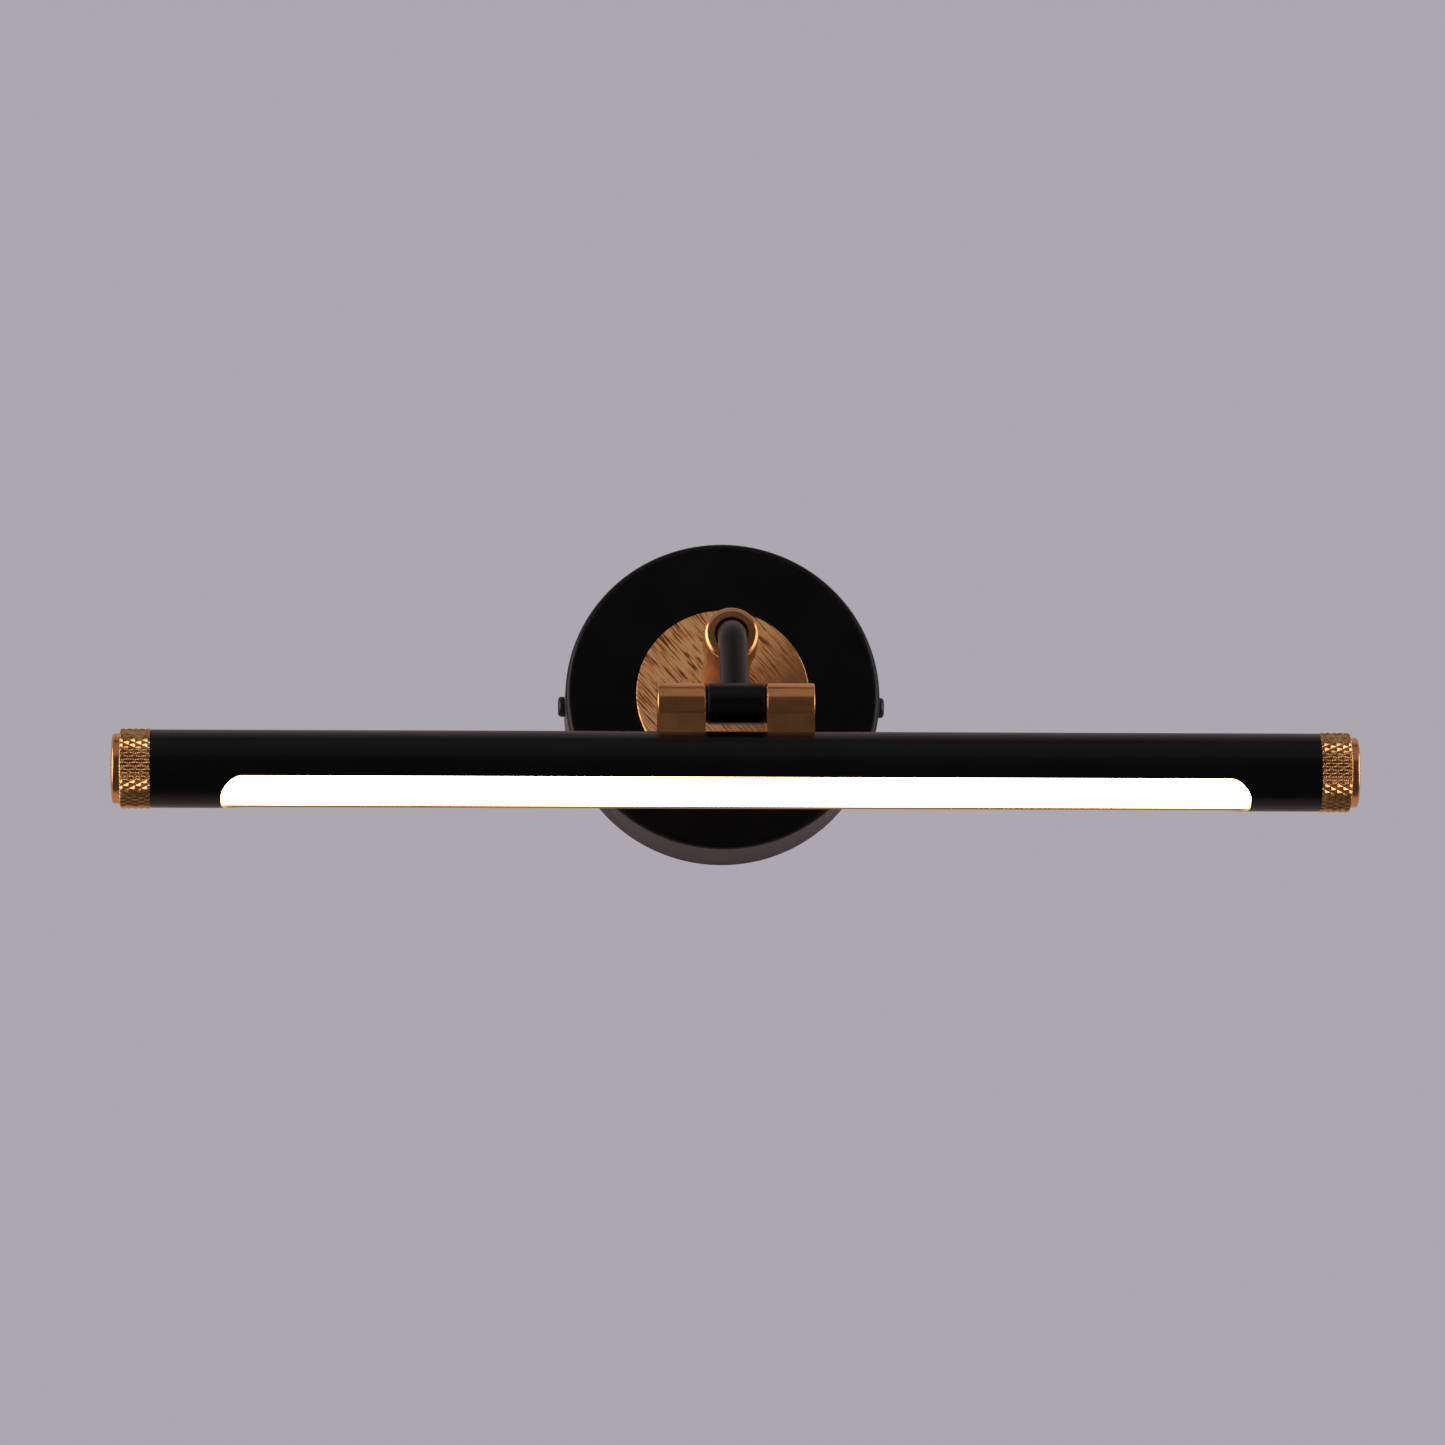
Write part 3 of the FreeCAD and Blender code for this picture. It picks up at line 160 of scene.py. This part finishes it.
BRASS_DARK = (0.64, 0.265, 0.092)
BRASS_BRIGHT = (0.92, 0.425, 0.168)


def brass(name, dark, bright, rough, streak_scale, depth):
    """Lacquered brass with faint tool lines; the scale says how far they are drawn out."""
    make = Shader(name)
    lines = make.noise(make.spots(streak_scale), 1.0, 4.0, 0.6)
    cloud = make.noise(make.spots(), 60.0, 3.0)
    tone = make.math("ADD", make.math("MULTIPLY", lines, 0.6), make.math("MULTIPLY", cloud, 0.4))
    make.set(Base_Color=make.ramp(tone, [(0.34, dark), (0.62, bright)]), Metallic=1.0,
             Roughness=make.span(lines, 0.35, 0.65, rough - 0.03, rough + 0.04))
    make.bump(lines, depth, 0.5)
    return make.material


BRUSH_SLOPE = math.radians(49)   # the strokes run down to the right by this angle


def brushed_brass():
    """Brass brushed in one slanting direction, with coarse and fine strokes.

    The gloss spreads across the strokes, and they are heavier on the left and at the top. The
    colour also turns darker towards the lower right, a painted shade of the shadow the boss throws
    on the disc."""
    make = Shader("brushed_brass")
    turn = (0, -BRUSH_SLOPE, 0)
    coarse = make.noise(make.spots((90, 1, 1450), turn), 1.0, 2.0, 0.5)
    fine = make.noise(make.spots((180, 1, 2600), turn), 1.0, 3.0, 0.6)
    strokes = make.math("ADD", make.math("MULTIPLY", coarse, 0.6), make.math("MULTIPLY", fine, 0.4))
    # Bright, high-contrast stroke colours for the upper left, where the disc is lit: partly real
    # heavy strokes, partly painted light.
    heavy_strokes_lit_side = make.ramp(strokes, [(0.42, (0.24, 0.076, 0.021)), (0.48, (0.96, 0.41, 0.150)),
                                (0.53, (1.0, 0.58, 0.26))])
    # Duller, darker stroke colours for the lower right: painted shade of the boss's shadow, with
    # fainter strokes.
    light = make.ramp(strokes, [(0.34, (0.46, 0.190, 0.068)), (0.62, (0.72, 0.340, 0.138))])
    # Mask for the painted shade: 0 on the left, rising to 1 towards the lower right.
    split = make.add("SeparateXYZ")
    make.link(make.spots(), split.inputs["Vector"])
    slanted = make.math("SUBTRACT", split.outputs["X"],
                        make.math("MULTIPLY", split.outputs["Z"], 0.6))
    painted_shade_lower_right = make.span(slanted, 0.000, 0.022, 0.0, 1.0)
    across = make.add("CombineXYZ", X=math.sin(BRUSH_SLOPE), Z=math.cos(BRUSH_SLOPE))
    world_across = make.add("VectorTransform", vector_type="VECTOR", convert_from="OBJECT",
                            convert_to="WORLD")
    make.link(across.outputs["Vector"], world_across.inputs["Vector"])
    make.link(world_across.outputs["Vector"], make.surface.inputs["Tangent"])
    rough = make.math("SUBTRACT", make.span(strokes, 0.4, 0.6, 0.60, 0.50),
                      make.math("MULTIPLY", painted_shade_lower_right, 0.12))
    # The base colour fades from the lit stroke colours to the painted-shade colours towards the
    # lower right.
    make.set(Base_Color=make.mix(painted_shade_lower_right, heavy_strokes_lit_side, light), Metallic=1.0, Anisotropic=0.75,
             Roughness=rough)
    make.bump(strokes, 0.00020, 0.6)
    return make.material


def turned_brass():
    return brass("turned_brass", BRASS_DARK, BRASS_BRIGHT, 0.20, (60, 2500, 60), 0.00001)


def knurled_brass():
    return brass("knurled_brass", (0.62, 0.29, 0.10), (0.92, 0.48, 0.19), 0.17, (200, 200, 200),
                 0.000002)


def plain(name, dark, bright, rough, metallic=0.0, grain=400.0, depth=0.00003):
    """A moulded or rolled surface with a little variation of tone and gloss."""
    make = Shader(name)
    where = make.spots()
    cloud = make.noise(where, grain / 8, 4.0)
    fine = make.noise(where, grain * 4, 3.0)
    make.set(Base_Color=make.ramp(cloud, [(0.35, dark), (0.65, bright)]), Metallic=metallic,
             Roughness=make.span(fine, 0.3, 0.7, rough - 0.05, rough + 0.05))
    make.bump(fine, depth, 0.3)
    return make.material


def opal():
    """Lit opal acrylic, evenly bright."""
    make = Shader("opal")
    cloud = make.noise(make.spots(), 20.0, 2.0)
    make.set(Base_Color=(0.9, 0.88, 0.84), Roughness=0.35,
             Emission_Color=make.ramp(cloud, [(0.3, (1.0, 0.50, 0.20)), (0.7, (1.0, 0.53, 0.22))]),
             Emission_Strength=make.span(cloud, 0.3, 0.7, 13.5, 14.5))
    return make.material


MATERIALS = {
    "black_paint": black_paint(),
    "brushed_brass": brushed_brass(),
    "turned_brass": turned_brass(),
    "knurled_brass": knurled_brass(),
    "opal": opal(),
    "zinc_steel": plain("zinc_steel", (0.42, 0.44, 0.46), (0.62, 0.63, 0.62), 0.35, 1.0),
    "black_screw": plain("black_screw", (0.012, 0.012, 0.013), (0.035, 0.033, 0.033), 0.35, 0.6),
    "steel": plain("steel", (0.52, 0.52, 0.53), (0.68, 0.68, 0.69), 0.25, 1.0),
    "bare_aluminium": plain("bare_aluminium", (0.66, 0.67, 0.68), (0.80, 0.81, 0.82), 0.38, 1.0),
    "case_plastic": plain("case_plastic", (0.78, 0.78, 0.76), (0.84, 0.84, 0.82), 0.45),
    "board_green": plain("board_green", (0.012, 0.11, 0.05), (0.02, 0.17, 0.08), 0.35),
    "board_white": plain("board_white", (0.82, 0.82, 0.80), (0.88, 0.88, 0.86), 0.4),
    "component": plain("component", (0.015, 0.015, 0.017), (0.05, 0.05, 0.055), 0.4),
    "chip": plain("chip", (0.80, 0.62, 0.12), (0.90, 0.74, 0.22), 0.4),
    "lead_sheath": plain("lead_sheath", (0.72, 0.72, 0.69), (0.80, 0.80, 0.77), 0.5),
    "mains_sheath": plain("mains_sheath", (0.12, 0.05, 0.02), (0.20, 0.09, 0.04), 0.45),
    "bush_plastic": plain("bush_plastic", (0.70, 0.69, 0.64), (0.78, 0.77, 0.72), 0.4),
    "grommet_rubber": plain("grommet_rubber", (0.012, 0.012, 0.012), (0.03, 0.03, 0.03), 0.7),
    "fibre": plain("fibre", (0.03, 0.03, 0.03), (0.06, 0.055, 0.05), 0.8),
}


def paint(piece, slot):
    piece.data.materials.clear()
    piece.data.materials.append(MATERIALS[slot])


for node_name, node in NODES.items():
    paint(node, SLOTS[node_name])


# ---------------------------------------------------------------- knurled rings

DIAMONDS = 36            # round the ring
DIAMOND_LONG = 4.0 * MM  # along the tube, point to point
KNURL_DEPTH = 0.62 * MM
CELL_STEPS = 8           # faces along each side of a diamond
FLAT_TOP = 0.125         # share of a diamond's half width that is flat at its top
RIM_LONG = 0.3 * MM      # the chamfer at both ends of the ring
RIM_DROP = 0.75 * MM
RING_BORE = 9.1 * MM     # radius
LIP_LONG = 2.0 * MM      # how far the bore runs in from each end
SAME_PLACE = 1e-6


def knurl_height(s, t):
    """Depth of the groove at a place in a diamond, from 0 on its top to 1 in the groove."""
    edge = min(s, 1 - s, t, 1 - t) * 2
    return 1.0 - min(1.0, edge / (1 - FLAT_TOP))


def knurl_ring(side):
    """A ring of raised diamonds between two chamfered rims, in place of the plain CAD ring."""
    node = "knurl_ring_" + side
    low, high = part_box(node)
    centre = (low + high) / 2
    outer = (high.z - low.z) / 2
    rim = outer - RIM_DROP
    half = (high.x - low.x) / 2
    mesh = bmesh.new()
    rows = int(math.ceil(2 * half / DIAMOND_LONG)) + 2
    grid = {}

    def vertex(i, j):
        """The point at lattice steps i, j, where i + j runs round and i - j along the ring."""
        around = (i + j) / (2 * CELL_STEPS)
        along = (i - j) / (2 * CELL_STEPS)
        key = ((i + j) % (2 * CELL_STEPS * DIAMONDS), i - j)
        if key not in grid:
            s, t = (i % CELL_STEPS) / CELL_STEPS, (j % CELL_STEPS) / CELL_STEPS
            radius = outer - KNURL_DEPTH * knurl_height(s, t)
            angle = 2 * math.pi * around / DIAMONDS
            grid[key] = mesh.verts.new((along * DIAMOND_LONG, radius * math.cos(angle),
                                        radius * math.sin(angle)))
        return grid[key]

    reach = rows * CELL_STEPS
    for total in range(0, 2 * CELL_STEPS * DIAMONDS):
        for gap in range(-reach, reach):
            if (total + gap) % 2:
                continue
            i, j = (total + gap) // 2, (total - gap) // 2
            mesh.faces.new([vertex(i, j), vertex(i + 1, j), vertex(i + 1, j + 1), vertex(i, j + 1)])
    for toward in (-1, 1):
        cut = toward * (half - RIM_LONG)
        bmesh.ops.bisect_plane(mesh, geom=list(mesh.verts) + list(mesh.edges) + list(mesh.faces),
                               plane_co=(cut, 0, 0), plane_no=(toward, 0, 0), clear_outer=True)
        border = [edge for edge in mesh.edges if edge.is_boundary
                  and all(abs(v.co.x - cut) < SAME_PLACE for v in edge.verts)]
        for place, radius in ((half, rim), (half, RING_BORE), (half - LIP_LONG, RING_BORE)):
            made = bmesh.ops.extrude_edge_only(mesh, edges=border)["geom"]
            for item in made:
                if isinstance(item, bmesh.types.BMVert):
                    flat = Vector((0, item.co.y, item.co.z)).normalized() * radius
                    item.co = Vector((toward * place, flat.y, flat.z))
            border = [item for item in made if isinstance(item, bmesh.types.BMEdge)
                      and item.is_boundary]
    bmesh.ops.recalc_face_normals(mesh, faces=mesh.faces)
    data = bpy.data.meshes.new(node + "_knurled")
    mesh.to_mesh(data)
    mesh.free()
    ring = bpy.data.objects.new(node + "_knurled", data)
    bpy.context.collection.objects.link(ring)
    ring.location = centre
    paint(ring, "knurled_brass")
    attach(ring, "head")
    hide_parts(node)


for ring_side in ("left", "right"):
    knurl_ring(ring_side)


# ---------------------------------------------------------------- wall, floor, lights, camera

def flat_sheet(name, size, place, turn):
    mesh = bpy.data.meshes.new(name)
    half = size / 2
    mesh.from_pydata([(-half, -half, 0), (half, -half, 0), (half, half, 0), (-half, half, 0)], [],
                     [(0, 1, 2, 3)])
    sheet = bpy.data.objects.new(name, mesh)
    bpy.context.collection.objects.link(sheet)
    sheet.location = place
    sheet.rotation_euler = turn
    return sheet


def wall_material():
    """Matt painted wall. It is never seen itself."""
    make = Shader("wall_paint")
    cloud = make.noise(make.spots(), 2.0, 3.0)
    grain = make.noise(make.spots(), 260.0, 5.0)
    make.set(Base_Color=make.ramp(cloud, [(0.35, (0.725, 0.610, 0.590)),
                                          (0.65, (0.745, 0.625, 0.605))]), Roughness=0.9)
    make.bump(grain, 0.0001, 0.1)
    return make.material


def floor_material():
    """Pale matt floor with faint clouds."""
    make = Shader("floor_paint")
    cloud = make.noise(make.spots(), 3.0, 3.0)
    make.set(Base_Color=make.ramp(cloud, [(0.35, (0.60, 0.59, 0.60)), (0.65, (0.64, 0.63, 0.64))]),
             Roughness=0.7)
    return make.material


WALL_WIDE = 5.6
WALL_PLACE = (0, 0.0004, 1.6)
FLOOR_LEVEL = -3.5       # lower than a camera straight below, at this camera's distance
FLOOR_WIDE = 100.0
FLOOR_LIGHT = 1.87       # watts on each square metre of it
FLOOR_LIGHT_ABOVE = 0.7

# The wall is left out of the picture from every side, so it never hides the object. It throws
# light back onto the object and shows in its gloss.
wall = flat_sheet("wall", WALL_WIDE, WALL_PLACE, (math.radians(90), 0, 0))
wall.data.materials.append(wall_material())
wall.visible_camera = False
wall.visible_shadow = False
floor = flat_sheet("floor", FLOOR_WIDE, (0, 0, FLOOR_LEVEL), (0, 0, 0))
floor.data.materials.append(floor_material())
floor.visible_glossy = False   # its light would flatten the brass
floor.visible_diffuse = False


def soft_light(name, place, target, wide, tall, power, colour):
    """A rectangular light at a place, facing a target, which no camera sees."""
    data = bpy.data.lights.new(name, "AREA")
    data.shape = "RECTANGLE"
    data.size, data.size_y = wide, tall
    data.energy = power
    data.color = colour
    light = bpy.data.objects.new(name, data)
    bpy.context.collection.objects.link(light)
    light.location = place
    light.rotation_euler = (Vector(target) - Vector(place)).to_track_quat("-Z", "Y").to_euler()
    light.visible_camera = False


SIDE_TARGET = (0, -0.80, 0.12)
ORIGIN = (0, 0, 0)
WARM = (1.0, 0.97, 0.97)
COOL = (0.98, 0.98, 1.0)

soft_light("left_soft", (-1.8, -0.80, 0.12), SIDE_TARGET, 1.5, 2.4, 32.0, WARM)
soft_light("right_soft", (1.8, -0.80, 0.12), SIDE_TARGET, 1.5, 2.4, 25.0, WARM)
soft_light("left_key", (-1.30, -1.66, 0.05), ORIGIN, 0.5, 0.9, 3.5, COOL)
soft_light("right_key", (1.30, -1.66, 0.05), ORIGIN, 0.5, 0.9, 2.8, COOL)
soft_light("back_soft", (0.15, 2.2, 0.45), ORIGIN, 1.4, 1.0, 24.0, (1.0, 1.0, 1.0))
soft_light("floor_soft", (0, 0, FLOOR_LEVEL + FLOOR_LIGHT_ABOVE), (0, 0, FLOOR_LEVEL),
           FLOOR_WIDE, FLOOR_WIDE, FLOOR_LIGHT * FLOOR_WIDE ** 2, (0.966, 0.932, 1.0))
soft_light("ceiling_soft", (0, -1.9, 1.7), (0, -1.9, 0), 3.0, 3.0, 6.5, (1.0, 0.97, 0.95))

# The world is one flat colour in the picture and a weaker one where it lights the object.
world = bpy.data.worlds.new("studio")
world.use_nodes = True
world_nodes = world.node_tree.nodes
world_links = world.node_tree.links
fill = world_nodes["Background"]
fill.inputs["Color"].default_value = (0.60, 0.59, 0.62, 1)
fill.inputs["Strength"].default_value = 0.11
backdrop = world_nodes.new("ShaderNodeBackground")
backdrop.inputs["Color"].default_value = (0.412, 0.391, 0.427, 1)
either = world_nodes.new("ShaderNodeMixShader")
ray = world_nodes.new("ShaderNodeLightPath")
world_links.new(ray.outputs["Is Camera Ray"], either.inputs["Fac"])
world_links.new(fill.outputs["Background"], either.inputs[1])
world_links.new(backdrop.outputs["Background"], either.inputs[2])
world_links.new(either.outputs["Shader"], world_nodes["World Output"].inputs["Surface"])
bpy.context.scene.world = world
bpy.context.scene.view_settings.view_transform = "Standard"

CAMERA_DISTANCE = 3.1826   # from AIM, in metres
CAMERA_LENS = 232.3
CAMERA_SENSOR = 36.0
CAMERA_BELOW = math.radians(13.93)
CAMERA_LEFT = math.radians(2.094)
CAMERA_ROLL = math.radians(-0.295)
AIM = Vector((0.0008, 0.0, -0.0033))

camera_data = bpy.data.cameras.new("camera")
camera_data.lens = CAMERA_LENS
camera_data.sensor_width = CAMERA_SENSOR
camera = bpy.data.objects.new("camera", camera_data)
bpy.context.collection.objects.link(camera)
toward_camera = Vector((-math.sin(CAMERA_LEFT) * math.cos(CAMERA_BELOW),
                        -math.cos(CAMERA_LEFT) * math.cos(CAMERA_BELOW), -math.sin(CAMERA_BELOW)))
camera.location = AIM + toward_camera * CAMERA_DISTANCE
facing = (-toward_camera).to_track_quat("-Z", "Y").to_matrix()
camera.rotation_euler = (facing @ Matrix.Rotation(CAMERA_ROLL, 3, "Z")).to_euler()
bpy.context.scene.camera = camera
